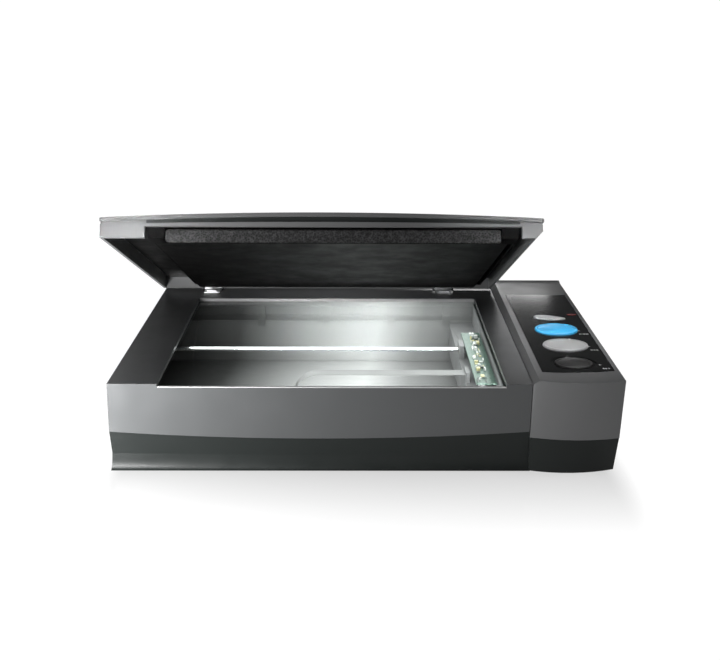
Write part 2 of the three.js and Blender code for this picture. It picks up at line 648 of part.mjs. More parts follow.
function lidShell() {
  const chamfer = LID_RIM.right - LID_RIM.foot;
  const section = outline([[LID_RIM.left, 0], [LID_RIM.foot, 0], [LID_RIM.right, chamfer],
    [LID_RIM.right, LIP_FOOT], [LID.x1, LIP_FOOT + 1], ...lidTop(0), [LID.x0, LIP_FOOT + 1],
    [LID_RIM.left, LIP_FOOT]]);
  const outer = alongY(section, -LID.length, LID_RIM.back).intersect(alongZ(lidPlan(), -1, 30, 6));
  const belowLip = outline([[LID.x1 + 10, -1], ...lidTop(LIP), [LID.x0 - 10, -1]]);
  const frontStep = alongY(belowLip, -LID.length - 1, LID_RIM.front);
  const left = LID_RIM.left + LID_WALL;
  const right = LID_RIM.foot - LID_WALL;
  const top = LID.edge - LID_WALL;
  const hollowTop = bowed(right, top, left, top, LID.crown - LID.edge, 20);
  const hollow = alongY(outline([[left, -1], [right, -1], ...hollowTop]), -261.6, -3.1);
  const notch = box(NOTCH.x0, NOTCH.x1, -270, -258, -1, NOTCH.height);
  const pockets = HINGES_X.map((x) => box(x - 11.5, x + 11.5, -5.2, 1, -1, 3.4));
  const relief = box(LID_RIM.foot + 0.5, 160, -8, 1, -1, 40);
  return cut(outer, frontStep, lidGroove(), hollow, notch, ...pockets, relief);
}

// the long groove under the lip
function lidGroove() {
  const low = bowed(LID.x0 - 1, 11.8, LID.x1 + 1, 11.8, 2.3, 20);
  const depth = 1.7;
  return alongY(outline([...low, ...lidTop(LIP)]), -270, LID_RIM.front + depth);
}

function lidLiner() {
  return box(-219.2, 142.4, -260.4, -5, 12, 13.5);
}

const TRAY = { x0: -185.2, x1: 131.5, y0: -262.6, y1: -26, lip: 0.3, floor: 9.5, top: 11.4, wall: 2 };
const FOAM = { x0: -170.2, x1: 117.3, y0: -262.5, y1: -35.5, z0: -3.6, z1: 9.1 };

function padTray() {
  const { x0, x1, lip, floor, top, wall } = TRAY;
  const front = TRAY.y0 + 2;
  const plate = box(x0, x1, front, TRAY.y1, floor, top);
  const left = box(x0, x0 + wall, front, TRAY.y1, lip, floor + 0.5);
  const right = box(x1 - wall, x1, front, TRAY.y1, lip, floor + 0.5);
  const back = box(x0, x1, TRAY.y1 - wall, TRAY.y1, lip, floor + 0.5);
  // the two solid ends either side of the foam
  const blockRear = -240;
  const blocks = [[x0, FOAM.x0 - 0.5], [FOAM.x1 + 0.5, x1]].map(([a, b]) => (
    join(
      box(a, b, TRAY.y0, blockRear, lip, floor - 0.6),
      box(a, b, front, blockRear, floor - 1.5, floor + 0.5),
    )
  ));
  return join(plate, left, right, back, ...blocks);
}

function foamPad() {
  return box(FOAM.x0, FOAM.x1, FOAM.y0, FOAM.y1, FOAM.z0, FOAM.z1);
}

function padSheet() {
  const top = FOAM.z0 - GAP;
  return box(-178.4, 122.6, FOAM.y0, FOAM.y1 + 1, top - 0.25, top);
}

// ---------- assembly ----------
place('lower_housing', lowerHousing(), charcoal);
place('upper_housing', upperHousing(), frameGrey);
place('panel_cover', panelCover(), graphite);
place('scan_glass', scanWindowPane(), clearGlass);
place('calibration_strip', calibrationStrip(), whiteStrip);
place('control_inlay', controlInlay(), glossBlack);
place('status_lens', onColumn(buttonHole(LENS, -INLAY.thick + GAP, 0.6, 0)), redLens);
place('button_board', buttonBoard(), boardGreen);
place('main_board', mainBoard(), boardGreen);
place('usb_socket', usbSocket(), zinc);
place('power_socket', powerSocket(), satinBlack);

const caps = {
  scan_button: [silverCap, 1.5],
  blue_button: [blueCap, 1.9],
  grey_button: [greyCap, 1.9],
  black_button: [satinBlack, 0.9],
};
for (const [name, [material, height]] of Object.entries(caps)) {
  place(name, buttonCap(BUTTONS[name], height), material);
  place(name.replace('button', 'switch'), tactSwitch(BUTTONS[name]), satinBlack);
}

FEET.forEach(([x, y], i) => place(`foot_${i + 1}`, footPad(x, y), rubber));
place('travel_lock', travelLock(), nylon);
place('guide_rod', guideRod(), steel);
place('rod_bracket_left', rodBracket(-220.3, -214), satinBlack);
place('rod_bracket_right', rodBracket(171, 175.4), satinBlack);

place('drive_belt', driveBelt(), rubber);
place('drive_gear', driveGear(), nylon);
place('motor_pinion', motorPinion(), brass);
place('gear_plate', gearPlate(), zinc);
place('stepper_motor', stepperMotor(), zinc);
place('idler_bracket', idlerBracket(), zinc);
place('idler_pulley', idlerPulley(), nylon);
place('flat_cable', flatCable(), whiteStrip);
place('flat_cable_socket', flatCableSocket(), nylon);

place('carriage_housing', carriageHousing(), carriageGrey);
place('carriage_cover', carriageCover(), carriageGrey);
place('rod_bushing_left', bushing(CARRIAGE.x + 0.4, CARRIAGE.x + 4.7), brass);
place('rod_bushing_right', bushing(CARRIAGE.x + 68.5, CARRIAGE.x + 71.8), brass);
place('lamp_tube', lampTube(), whiteStrip);
place('lamp_reflector', lampReflector(), zinc);
place('mirror_1', mirrorStrip(131.5, 33, 9, 45), mirror);
place('mirror_2', mirrorStrip(160, 34, 14, -60), mirror);
place('lens_block', lensBlock(), satinBlack);
place('sensor_board', sensorBoard(), boardGreen);
place('belt_clamp', beltClamp(), nylon);
place('slide_pad_front', slidePad(CARRIAGE.x + 60, CARRIAGE.y0 + 5), nylon);
place('slide_pad_rear', slidePad(CARRIAGE.x + 60, CARRIAGE.y1 - 4.5), nylon);

const lid = new THREE.Group();
lid.position.set(0, HINGE_Y, HINGE_Z);
lid.rotation.x = -LID_OPEN * Math.PI / 180;
scanner.add(lid);
place('lid_shell', lidShell(), graphite, lid);
place('lid_liner', lidLiner(), satinBlack, lid);
place('pad_tray', padTray(), satinBlack, lid);
place('foam_pad', foamPad(), foamBlack, lid);
place('pad_sheet', padSheet(), satinBlack, lid);

HINGES_X.forEach((x, i) => {
  const side = i === 0 ? 'left' : 'right';
  place(`hinge_${side}_base_leaf`, hingeBaseLeaf(x), steel);
  place(`hinge_${side}_pin`, hingePin(x), steel);
  place(`hinge_${side}_lid_leaf`, hingeLidLeaf(x), steel, lid);
});

export default scanner;
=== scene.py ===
import json
import math
import random

import bmesh
import bpy
from mathutils import Matrix, Vector, noise


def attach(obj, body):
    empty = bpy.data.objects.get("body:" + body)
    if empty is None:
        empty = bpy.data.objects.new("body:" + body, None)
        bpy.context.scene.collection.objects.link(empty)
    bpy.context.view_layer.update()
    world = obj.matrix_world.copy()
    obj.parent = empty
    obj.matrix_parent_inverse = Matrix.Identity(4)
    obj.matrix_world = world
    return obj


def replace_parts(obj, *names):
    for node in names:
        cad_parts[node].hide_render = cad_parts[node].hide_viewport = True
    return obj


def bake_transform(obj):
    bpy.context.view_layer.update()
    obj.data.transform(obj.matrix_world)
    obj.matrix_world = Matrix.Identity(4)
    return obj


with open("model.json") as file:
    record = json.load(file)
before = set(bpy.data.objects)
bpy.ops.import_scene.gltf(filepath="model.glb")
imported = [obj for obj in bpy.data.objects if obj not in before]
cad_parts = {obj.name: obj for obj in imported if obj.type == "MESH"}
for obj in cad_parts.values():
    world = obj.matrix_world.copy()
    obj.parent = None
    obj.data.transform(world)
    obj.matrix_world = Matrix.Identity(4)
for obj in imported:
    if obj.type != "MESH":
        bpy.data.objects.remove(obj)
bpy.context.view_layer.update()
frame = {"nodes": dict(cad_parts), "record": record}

NODES = frame["nodes"]
MM = 0.001

# the housings' inner faces carry painted light and shade, near black to pale grey: millimetres
# along a slanted axis, and the grey there
PAINTED_LIGHT_AXIS = (1.0, -0.16, -0.20)
INNER_PAINTED_LIGHT = [(-230, 0.002), (-165, 0.02), (-120, 0.11), (-80, 0.22),
              (-40, 0.33), (-8, 0.42), (40, 0.20), (110, 0.12)]


# ---------------------------------------------------------------- camera
CAMERA_PLACE = (-0.00778, -0.85835, 0.40753)
CAMERA_PITCH, CAMERA_AZIMUTH, CAMERA_ROLL = 20.61, 0.32, 0.22      # degrees
CAMERA_LENS, CAMERA_SENSOR = 45.615, 36.0                          # millimetres


def make_camera():
    """The camera stands in front of the scanner, a little above it, looking down."""
    pitch, azimuth = math.radians(CAMERA_PITCH), math.radians(CAMERA_AZIMUTH)
    roll = math.radians(CAMERA_ROLL)
    ahead = Vector((math.sin(azimuth) * math.cos(pitch), math.cos(azimuth) * math.cos(pitch),
                    -math.sin(pitch)))
    right = Vector((math.cos(azimuth), -math.sin(azimuth), 0.0))
    up = right.cross(ahead)
    right_cam = right * math.cos(roll) + up * math.sin(roll)
    up_cam = up * math.cos(roll) - right * math.sin(roll)
    data = bpy.data.cameras.new("camera")
    data.sensor_width = CAMERA_SENSOR
    data.sensor_fit = "HORIZONTAL"
    data.lens = CAMERA_LENS
    camera = bpy.data.objects.new("camera", data)
    turn = Matrix((right_cam, up_cam, -ahead)).transposed().to_4x4()
    camera.matrix_world = Matrix.Translation(Vector(CAMERA_PLACE)) @ turn
    bpy.context.scene.collection.objects.link(camera)
    bpy.context.scene.camera = camera


# ---------------------------------------------------------------- materials
def new_material(name):
    material = bpy.data.materials.new(name)
    material.use_nodes = True
    nodes = material.node_tree.nodes
    return material, nodes, material.node_tree.links, nodes["Principled BSDF"]


def noise_node(nodes, links, coord, scale, detail=3.0, rough=0.5):
    node = nodes.new("ShaderNodeTexNoise")
    node.inputs["Scale"].default_value = scale
    node.inputs["Detail"].default_value = detail
    node.inputs["Roughness"].default_value = rough
    links.new(coord, node.inputs["Vector"])
    return node.outputs["Fac"]


def ramp(nodes, links, source, low, high, at=(0.35, 0.65)):
    node = nodes.new("ShaderNodeMapRange")
    node.inputs["From Min"].default_value = at[0]
    node.inputs["From Max"].default_value = at[1]
    node.inputs["To Min"].default_value = low
    node.inputs["To Max"].default_value = high
    links.new(source, node.inputs["Value"])
    return node.outputs["Result"]


def mix_colour(nodes, links, factor, first, second):
    node = nodes.new("ShaderNodeMix")
    node.data_type = "RGBA"
    links.new(factor, node.inputs["Factor"])
    node.inputs[6].default_value = (*first, 1.0)
    node.inputs[7].default_value = (*second, 1.0)
    return node.outputs[2]


def object_coord(nodes):
    return nodes.new("ShaderNodeTexCoord").outputs["Object"]


def bump_node(nodes, links, height, strength, distance):
    node = nodes.new("ShaderNodeBump")
    node.inputs["Strength"].default_value = strength
    node.inputs["Distance"].default_value = distance
    links.new(height, node.inputs["Height"])
    return node.outputs["Normal"]


def plastic(name, colour, rough=0.4, metallic=0.0, grain=2600.0, bump=0.25, vary=0.12,
            coat=0.0, specular=0.5):
    """Moulded or painted plastic: fine grain, slight colour drift, uneven gloss."""
    material, nodes, links, shader = new_material(name)
    coord = object_coord(nodes)
    drift = noise_node(nodes, links, coord, 9.0, 4.0)
    dark = tuple(c * (1 - vary) for c in colour)
    light = tuple(min(1.0, c * (1 + vary)) for c in colour)
    links.new(mix_colour(nodes, links, drift, dark, light), shader.inputs["Base Color"])
    smear = noise_node(nodes, links, coord, 38.0, 5.0, 0.6)
    links.new(ramp(nodes, links, smear, rough * 0.88, rough * 1.14), shader.inputs["Roughness"])
    fine = noise_node(nodes, links, coord, grain, 2.0)
    links.new(bump_node(nodes, links, fine, bump, 0.00004), shader.inputs["Normal"])
    shader.inputs["Metallic"].default_value = metallic
    shader.inputs["Coat Weight"].default_value = coat
    shader.inputs["Coat Roughness"].default_value = 0.12
    shader.inputs["Specular IOR Level"].default_value = specular
    return material


def housing(name, colour, inner, bounds, **looks):
    """A moulded housing whose inner faces are a paler grey, graded as painted light and shade."""
    material = plastic(name, colour, **looks)
    nodes, links = material.node_tree.nodes, material.node_tree.links
    shader = nodes["Principled BSDF"]
    outer = shader.inputs["Base Color"].links[0].from_socket
    split = nodes.new("ShaderNodeSeparateXYZ")
    links.new(object_coord(nodes), split.inputs["Vector"])
    mask = None
    for axis, (low, high) in zip("XYZ", bounds):
        for limit, operation in ((low, "GREATER_THAN"), (high, "LESS_THAN")):
            test = nodes.new("ShaderNodeMath")
            test.operation = operation
            test.inputs[1].default_value = limit * MM
            links.new(split.outputs[axis], test.inputs[0])
            if mask is None:
                mask = test.outputs[0]
                continue
            both = nodes.new("ShaderNodeMath")
            both.operation = "MULTIPLY"
            links.new(mask, both.inputs[0])
            links.new(test.outputs[0], both.inputs[1])
            mask = both.outputs[0]
    # inside the box the colour is the painted light and shade grade, not the housing's own grey
    choose = nodes.new("ShaderNodeMix")
    choose.data_type = "RGBA"
    links.new(mask, choose.inputs["Factor"])
    links.new(outer, choose.inputs[6])
    links.new(painted_light_grade(nodes, links, inner), choose.inputs[7])
    links.new(choose.outputs[2], shader.inputs["Base Color"])
    return material


def painted_light_grade(nodes, links, stops):
    """A grey that changes across the object as painted light and shade: stops are (millimetres
    along the slanted axis, grey).
    """
    along = nodes.new("ShaderNodeVectorMath")
    along.operation = "DOT_PRODUCT"
    along.inputs[1].default_value = PAINTED_LIGHT_AXIS
    links.new(object_coord(nodes), along.inputs[0])
    low, high = stops[0][0], stops[-1][0]
    share = ramp(nodes, links, along.outputs["Value"], 0.0, 1.0, (low * MM, high * MM))
    tones = nodes.new("ShaderNodeValToRGB")
    elements = tones.color_ramp.elements
    while len(elements) < len(stops):
        elements.new(0.5)
    for element, (at, grey) in zip(elements, stops):
        element.position = (at - low) / (high - low)
        element.color = (grey, grey, grey, 1.0)
    links.new(share, tones.inputs["Fac"])
    return tones.outputs["Color"]


def metal(name, colour, rough=0.2, stretch=(1.0, 1.0, 1.0), grain=900.0):
    """Bare or plated metal with fine lines along one direction."""
    material, nodes, links, shader = new_material(name)
    mapping = nodes.new("ShaderNodeMapping")
    mapping.inputs["Scale"].default_value = stretch
    links.new(object_coord(nodes), mapping.inputs["Vector"])
    lines = noise_node(nodes, links, mapping.outputs["Vector"], grain, 3.0)
    links.new(ramp(nodes, links, lines, rough * 0.7, rough * 1.4), shader.inputs["Roughness"])
    dark = tuple(c * 0.85 for c in colour)
    links.new(mix_colour(nodes, links, lines, dark, colour), shader.inputs["Base Color"])
    links.new(bump_node(nodes, links, lines, 0.2, 0.00002), shader.inputs["Normal"])
    shader.inputs["Metallic"].default_value = 1.0
    return material


def glass_pane(name):
    """A clear pane: light passes straight through, and its front faces mirror by angle."""
    material, nodes, links, shader = new_material(name)
    nodes.remove(shader)
    clear = nodes.new("ShaderNodeBsdfTransparent")
    clear.inputs["Color"].default_value = (0.94, 0.965, 0.955, 1.0)
    shine = nodes.new("ShaderNodeBsdfGlossy")
    coord = object_coord(nodes)
    dust = noise_node(nodes, links, coord, 60.0, 6.0, 0.7)
    links.new(ramp(nodes, links, dust, 0.015, 0.05), shine.inputs["Roughness"])
    fresnel = nodes.new("ShaderNodeFresnel")
    fresnel.inputs["IOR"].default_value = 1.5
    blend = nodes.new("ShaderNodeMixShader")
    side = nodes.new("ShaderNodeNewGeometry")
    front = nodes.new("ShaderNodeMath")
    front.operation = "SUBTRACT"
    front.inputs[0].default_value = 1.0
    links.new(side.outputs["Backfacing"], front.inputs[1])
    shine_share = nodes.new("ShaderNodeMath")
    shine_share.operation = "MULTIPLY"
    links.new(fresnel.outputs["Fac"], shine_share.inputs[0])
    links.new(front.outputs[0], shine_share.inputs[1])
    links.new(shine_share.outputs[0], blend.inputs["Fac"])
    links.new(clear.outputs["BSDF"], blend.inputs[1])
    links.new(shine.outputs["BSDF"], blend.inputs[2])
    links.new(blend.outputs["Shader"], nodes["Material Output"].inputs["Surface"])
    return material


def foam_material(name):
    """Open-cell foam: dark cells between paler struts, the cells' darkness painted shade in the
    open pores.
    """
    material, nodes, links, shader = new_material(name)
    coord = object_coord(nodes)
    cells = nodes.new("ShaderNodeTexVoronoi")
    cells.inputs["Scale"].default_value = 620.0
    links.new(coord, cells.inputs["Vector"])
    clumps = noise_node(nodes, links, coord, 240.0, 4.0)
    both = nodes.new("ShaderNodeMath")
    both.operation = "MULTIPLY"
    links.new(cells.outputs["Distance"], both.inputs[0])
    links.new(clumps, both.inputs[1])
    # the cells are painted dark as shade in the pores
    pore_shade = ramp(nodes, links, both.outputs[0], 0.0, 1.0, (0.1, 0.45))
    colour = mix_colour(nodes, links, pore_shade, (0.012, 0.012, 0.012), (0.042, 0.042, 0.043))
    links.new(colour, shader.inputs["Base Color"])
    links.new(bump_node(nodes, links, both.outputs[0], 0.9, 0.0006), shader.inputs["Normal"])
    shader.inputs["Roughness"].default_value = 0.95
    shader.inputs["Specular IOR Level"].default_value = 0.2
    return material


def circuit_board(name):
    """Green solder mask with paler tracks."""
    material, nodes, links, shader = new_material(name)
    coord = object_coord(nodes)
    tracks = nodes.new("ShaderNodeTexBrick")
    tracks.inputs["Scale"].default_value = 160.0
    tracks.inputs["Mortar Size"].default_value = 0.06
    tracks.inputs["Color1"].default_value = (0.024, 0.048, 0.037, 1.0)
    tracks.inputs["Color2"].default_value = (0.032, 0.06, 0.046, 1.0)
    tracks.inputs["Mortar"].default_value = (0.06, 0.10, 0.08, 1.0)
    links.new(coord, tracks.inputs["Vector"])
    links.new(tracks.outputs["Color"], shader.inputs["Base Color"])
    fine = noise_node(nodes, links, coord, 700.0, 2.0)
    links.new(ramp(nodes, links, fine, 0.25, 0.45), shader.inputs["Roughness"])
    return material


# the boxes in which each housing shows its painted light and shade grey: X, Y and Z limits in
# millimetres
FRAME_INSIDE = ((-220.0, 147.0), (-131.4, 139.5), (20, 81.2))
BASE_INSIDE = ((-221.9, 147.5), (-128.4, 140.0), (4.9, 45))
EVERYWHERE = ((-900, 900), (-900, 900), (-900, 900))


def make_materials():
    """Every look by name; the plain ones run rough, metallic, grain, bump, vary, coat, specular."""
    graphite = plastic("graphite_paint", (0.150, 0.152, 0.154), 0.34, 0.35, 3200.0, 0.3, 0.05, 0.25)
    # both housings show the painted light and shade grade on their inner faces
    frame_paint = housing("frame_paint", (0.085, 0.088, 0.090), INNER_PAINTED_LIGHT, FRAME_INSIDE,
                          rough=0.36, metallic=0.30, grain=3200.0, vary=0.05, coat=0.2)
    charcoal = housing("charcoal_plastic", (0.012, 0.0145, 0.0138), INNER_PAINTED_LIGHT, BASE_INSIDE,
                       rough=0.42, grain=2200.0, bump=0.4, vary=0.1, specular=0.3)
    return {
        "graphite_plastic": graphite,
        "frame_plastic": frame_paint,
        "charcoal_plastic": charcoal,
        "clear_glass": glass_pane("platen_glass"),
        "white_strip": plastic("white_film", (0.80, 0.80, 0.78), 0.5, 0.0, 1500.0, 0.1, 0.03),
        "gloss_black": plastic("gloss_black", (0.004, 0.0045, 0.0045),
                               0.09, 0.0, 900.0, 0.02, 0.1, 0.6),
        "red_lens": plastic("red_lens", (0.16, 0.008, 0.006), 0.35, 0.0, 900.0, 0.05, 0.2, 0.2),
        "board_green": circuit_board("board_green"),
        "zinc_plate": metal("zinc_plate", (0.52, 0.53, 0.54), 0.32),
        "carriage_grey": plastic("carriage_grey", (0.115, 0.115, 0.117),
                                 0.5, 0.0, 1500.0, 0.3, 0.06),
        # the bay's back wall shows the painted light and shade grade all over
        "bay_painted_light": housing("bay_painted_light", (0.1, 0.1, 0.1), INNER_PAINTED_LIGHT, EVERYWHERE,
                            rough=0.5, grain=2200.0),
        # pale strips as painted highlights along the glass's front and rear edges
        "rim_painted_highlight": plastic("rim_painted_highlight", (0.55, 0.55, 0.55), 0.4, 0.0, 2400.0, 0.2, 0.05),
        "rim_painted_highlight_grey": plastic("rim_painted_highlight_grey", (0.20, 0.20, 0.20), 0.4, 0.0, 2400.0, 0.2, 0.05),
        "part_grey": plastic("part_grey", (0.34, 0.35, 0.34), 0.4, 0.0, 1500.0, 0.2, 0.1),
        "part_ochre": plastic("part_ochre", (0.30, 0.28, 0.15), 0.4, 0.0, 1500.0, 0.2, 0.1),
        "part_dark": plastic("part_dark", (0.04, 0.05, 0.045), 0.4, 0.0, 1500.0, 0.2, 0.1),
        "hinge_steel": metal("hinge_steel", (0.82, 0.83, 0.84), 0.52, (0.02, 1.0, 1.0)),
        "cable_grey": plastic("cable_grey", (0.115, 0.115, 0.115), 0.5, 0.0, 1500.0, 0.2, 0.05),
        "satin_black": plastic("satin_black", (0.0045, 0.0045, 0.0045),
                               0.5, 0.0, 1800.0, 0.5, 0.15),
        "liner_black": plastic("liner_black", (0.002, 0.002, 0.002),
                               0.5, 0.0, 1400.0, 0.5, 0.15, specular=0.05),
        "rubber": plastic("rubber", (0.012, 0.012, 0.012), 0.8, 0.0, 1200.0, 0.6, 0.2),
        "polished_steel": metal("polished_steel", (0.80, 0.81, 0.82), 0.16, (0.02, 1.0, 1.0)),
        "nylon": plastic("nylon", (0.62, 0.60, 0.53), 0.45, 0.0, 1500.0, 0.2, 0.05),
        "brass": metal("brass", (0.62, 0.47, 0.2), 0.25),
        "front_mirror": metal("front_mirror", (0.9, 0.91, 0.92), 0.03),
        "foam": foam_material("foam"),
        "silver_cap": plastic("silver_cap", (0.55, 0.56, 0.57), 0.3, 0.35, 2600.0, 0.15, 0.04, 0.2),
        "blue_cap": plastic("blue_cap", (0.045, 0.40, 0.74), 0.32, 0.0, 1800.0, 0.15, 0.05, 0.2),
        "grey_cap": plastic("grey_cap", (0.30, 0.305, 0.305), 0.36, 0.1, 1800.0, 0.2, 0.05, 0.1),
    }


FINE_BEVEL = 0.25      # millimetres


def paint_cad(materials):
    """Each carried-over CAD node takes its slot's material, soft edges and smooth normals."""
    slots = {s["node"]: s["material_slot"] for s in frame["record"]["subparts"]}
    special = {"lid_liner": "liner_black", "pad_tray": "liner_black",
               "pad_sheet": "liner_black", "flat_cable": "cable_grey"}
    special.update({f"hinge_{side}_{part}": "hinge_steel" for side in ("left", "right")
                    for part in ("base_leaf", "lid_leaf", "pin")})
    wide = {"lower_housing": 0.9, "upper_housing": 0.7, "panel_cover": 0.9}      # bevels in mm
    for name, obj in NODES.items():
        obj.data.materials.clear()
        obj.data.materials.append(materials[special.get(name, slots[name])])
        for polygon in obj.data.polygons:
            polygon.use_smooth = True
        weld = obj.modifiers.new("weld", "WELD")
        weld.merge_threshold = 0.00002
        bevel = obj.modifiers.new("bevel", "BEVEL")
        bevel.width = wide.get(name, FINE_BEVEL) * MM
        bevel.segments = 3 if name in wide else 2
        bevel.limit_method = "ANGLE"
        bevel.angle_limit = math.radians(34)
        bevel.use_clamp_overlap = True
        bevel.harden_normals = False
        normals = obj.modifiers.new("normals", "WEIGHTED_NORMAL")
        normals.keep_sharp = False


# ---------------------------------------------------------------- modelled pieces
COLUMN_FRONT_Y, COLUMN_FRONT_Z = -137.2, 89.7
COLUMN_SLOPE = math.atan(1.4 / 273.7)      # its rise over its depth
RING_POINTS = 72


def on_column(x, y, height):
    """A point in millimetres on the column's sloping top, that much above it, in metres."""
    back = y - COLUMN_FRONT_Y
    c, s = math.cos(COLUMN_SLOPE), math.sin(COLUMN_SLOPE)
    return Vector((x, COLUMN_FRONT_Y + back * c - height * s,
                   COLUMN_FRONT_Z + back * s + height * c)) * MM


def add_piece(name, points, faces, slot_name, body, smooth=True, material=None):
    """A mesh with its normals facing out; it rides on its body unless body is None."""
    mesh = bpy.data.meshes.new(name)
    mesh.from_pydata([tuple(p) for p in points], [], faces)
    mesh.materials.append(material or MATERIALS[slot_name])
    for polygon in mesh.polygons:
        polygon.use_smooth = smooth
    obj = bpy.data.objects.new(name, mesh)
    bpy.context.scene.collection.objects.link(obj)
    solid = bmesh.new()
    solid.from_mesh(mesh)
    bmesh.ops.recalc_face_normals(solid, faces=solid.faces)
    solid.to_mesh(mesh)
    solid.free()
    if body:
        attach(obj, body)
    return obj


def loft(name, rings, slot_name, body, smooth=True, material=None):
    """One closed skin over rings of equal point counts, with a flat cap on each end."""
    count = len(rings[0])
    points = [p for ring in rings for p in ring]
    faces = []
    for row in range(len(rings) - 1):
        for i in range(count):
            j = (i + 1) % count
            here, above = row * count, (row + 1) * count
            faces.append((here + i, here + j, above + j, above + i))
    faces.append(tuple(range(count)))
    faces.append(tuple(reversed(range(len(points) - count, len(points)))))
    return add_piece(name, points, faces, slot_name, body, smooth, material)


def sharpen(obj, angle=30):
    """Hard edges stay crisp on an otherwise smooth piece."""
    obj.data.set_sharp_from_angle(angle=math.radians(angle))


# the oval keys: centre x and y, half width, half depth, look, height of the rim
BUTTONS = {
    "blue_button": (191.0, -14.1, 21.0, 15.2, "blue_cap", 1.9),
    "grey_button": (191.2, -55.9, 21.2, 14.9, "grey_cap", 1.9),
    "black_button": (189.8, -98.0, 17.4, 12.8, "satin_black", 0.9),
}
STEM_RADIUS, STEM_FOOT, CAP_FOOT = 2.6, -15.4, -4.0
CREASE = 50            # degrees above which a key's edge stays crisp


def oval_ring(x, y, a, b, height):
    turn = 2 * math.pi / RING_POINTS
    return [on_column(x + a * math.cos(i * turn), y + b * math.sin(i * turn), height)
            for i in range(RING_POINTS)]


def stem_rings(x, y):
    """The round stem below a key."""
    return [oval_ring(x, y, STEM_RADIUS, STEM_RADIUS, h) for h in (STEM_FOOT, CAP_FOOT - 0.01)]


def button_caps():
    """Oval push buttons: a rolled rim, a fine groove inside it and a domed middle."""
    for name, (x, y, a, b, slot_name, top) in BUTTONS.items():
        profile = [(0.0, CAP_FOOT), (0.0, top - 1.1), (0.12, top - 0.6), (0.4, top - 0.2),
                   (0.9, top), (1.5, top), (2.0, top - 0.12), (2.3, top - 0.45),
                   (2.6, top - 0.5), (2.9, top - 0.4), (3.3, top - 0.1)]
        profile += [(3.3 + 8.0 * t, top - 0.1 + 1.1 * math.sin(t * math.pi / 2))
                    for t in (0.15, 0.35, 0.6, 0.85, 1.0)]
        rings = stem_rings(x, y)
        rings += [oval_ring(x, y, a - inset, b - inset, h) for inset, h in profile]
        rings.append(oval_ring(x, y, 1.2, 0.5, top + 1.05))
        sharpen(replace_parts(loft(name + "_cap", rings, slot_name, name), name), CREASE)


def leaf_ring(shrink, height):
    """The scan key's outline: blunt at the left and drawn out to a tip at the right."""
    ring = []
    for i in range(RING_POINTS):
        turn = 2 * math.pi * i / RING_POINTS
        x = 191.1 + (15.8 - shrink) * math.cos(turn)
        taper = 1.0 - 0.5 * (0.5 + 0.5 * math.cos(turn)) ** 1.5
        middle = 22.3 - 5.3 * (x - 175.3) / 31.6
        ring.append(on_column(x, middle + (7.0 * taper - shrink) * math.sin(turn), height))
    return ring


def scan_key():
    """The leaf-shaped key behind the oval ones, with a softly rounded rim."""
    profile = ((0, CAP_FOOT), (0, 0.6), (0.15, 1.0), (0.5, 1.3), (1.1, 1.5),
               (2.2, 1.6), (3.0, 1.62))
    rings = stem_rings(191.0, 19.6)
    rings += [leaf_ring(shrink, h) for shrink, h in profile]
    key = loft("scan_key_cap", rings, "silver_cap", "scan_button")
    sharpen(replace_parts(key, "scan_button"), CREASE)


MARK_LOW, MARK_HIGH = 0.3, 0.46      # millimetres above the column's top


def flat_mark(name, outline, slot_name):
    """A thin raised mark on the panel from an outline in millimetres."""
    rings = [[on_column(x, y, h) for x, y in outline] for h in (MARK_LOW, MARK_HIGH)]
    loft(name, rings, slot_name, "base", False)


def panel_marks():
    """Plain bars and pointers beside the keys, in place of lettering."""
    # name, the bars' left, right, middle y and half depth, the pointer's x and y
    rows = (("blue", 211.0, 221.0, -26.1, 0.9, 211.0, -16.9),
            ("grey", 212.5, 220.2, -67.1, 0.9, 211.6, -58.5),
            ("black", 212.7, 219.6, -110.9, 1.2, 211.4, -102.4))
    gap = 0.7
    for name, x0, x1, y, half, tip_x, tip_y in rows:
        look = "silver_cap" if name == "black" else "grey_cap"
        for i in range(3):
            left = x0 + (x1 - x0) * i / 3
            right = left + (x1 - x0) / 3 - gap
            front, rear = y - half, y + half
            flat_mark(f"mark_{name}_{i + 1}",
                      [(left, front), (right, front), (right, rear), (left, rear)], look)
        flat_mark(f"pointer_{name}",
                  [(tip_x, tip_y - 1.3), (tip_x + 2.9, tip_y), (tip_x, tip_y + 1.3)], look)


# the lid's pieces are drawn with the lid shut: x, then y and z from the hinge line
HINGE = (131.1, 85.8)
LID_OPEN = math.radians(27.31)
FOAM = {"x0": -170.2, "x1": 117.3, "y0": -262.5, "y1": -35.5, "z0": -3.6, "z1": 9.1}
FOAM_STATIONS = 250      # sections along the pad
END_PULL = (0.72, 0.9, 0.97)      # how far the last sections at each end are drawn in


def on_lid(x, y, z):
    """A point drawn with the lid shut, in millimetres, as it stands at rest, in metres."""
    c, s = math.cos(LID_OPEN), math.sin(LID_OPEN)
    return Vector((x, HINGE[0] + y * c + z * s, HINGE[1] - y * s + z * c)) * MM


def foam_section():
    """The pad's section: fine steps on its front, soft corners, wide steps elsewhere."""
    y0, y1, z0, z1 = FOAM["y0"], FOAM["y1"], FOAM["z0"], FOAM["z1"]
    radius = 2.2
    points = [(y0 + 0.2, z0 + 0.4 + (z1 - radius - z0 - 0.4) * i / 12) for i in range(13)]
    for i in range(1, 6):
        turn = math.pi - i * math.pi / 10
        points.append((y0 + 0.2 + radius + radius * math.cos(turn),
                       z1 - radius + radius * math.sin(turn)))
    points += [(y0 + 8 + (y1 - y0 - 14) * (i / 14) ** 1.6, z1) for i in range(15)]
    points += [(y1 - 1.5, z1 - 0.4), (y1 - 0.2, z1 - 1.6),
               (y1 - 0.2, z0 + 1.6), (y1 - 1.5, z0 + 0.3)]
    points += [(y1 - 6 - (y1 - y0 - 12) * (i / 10), z0 + 0.05) for i in range(11)]
    points.append((y0 + 1.0, z0 + 0.05))
    return points


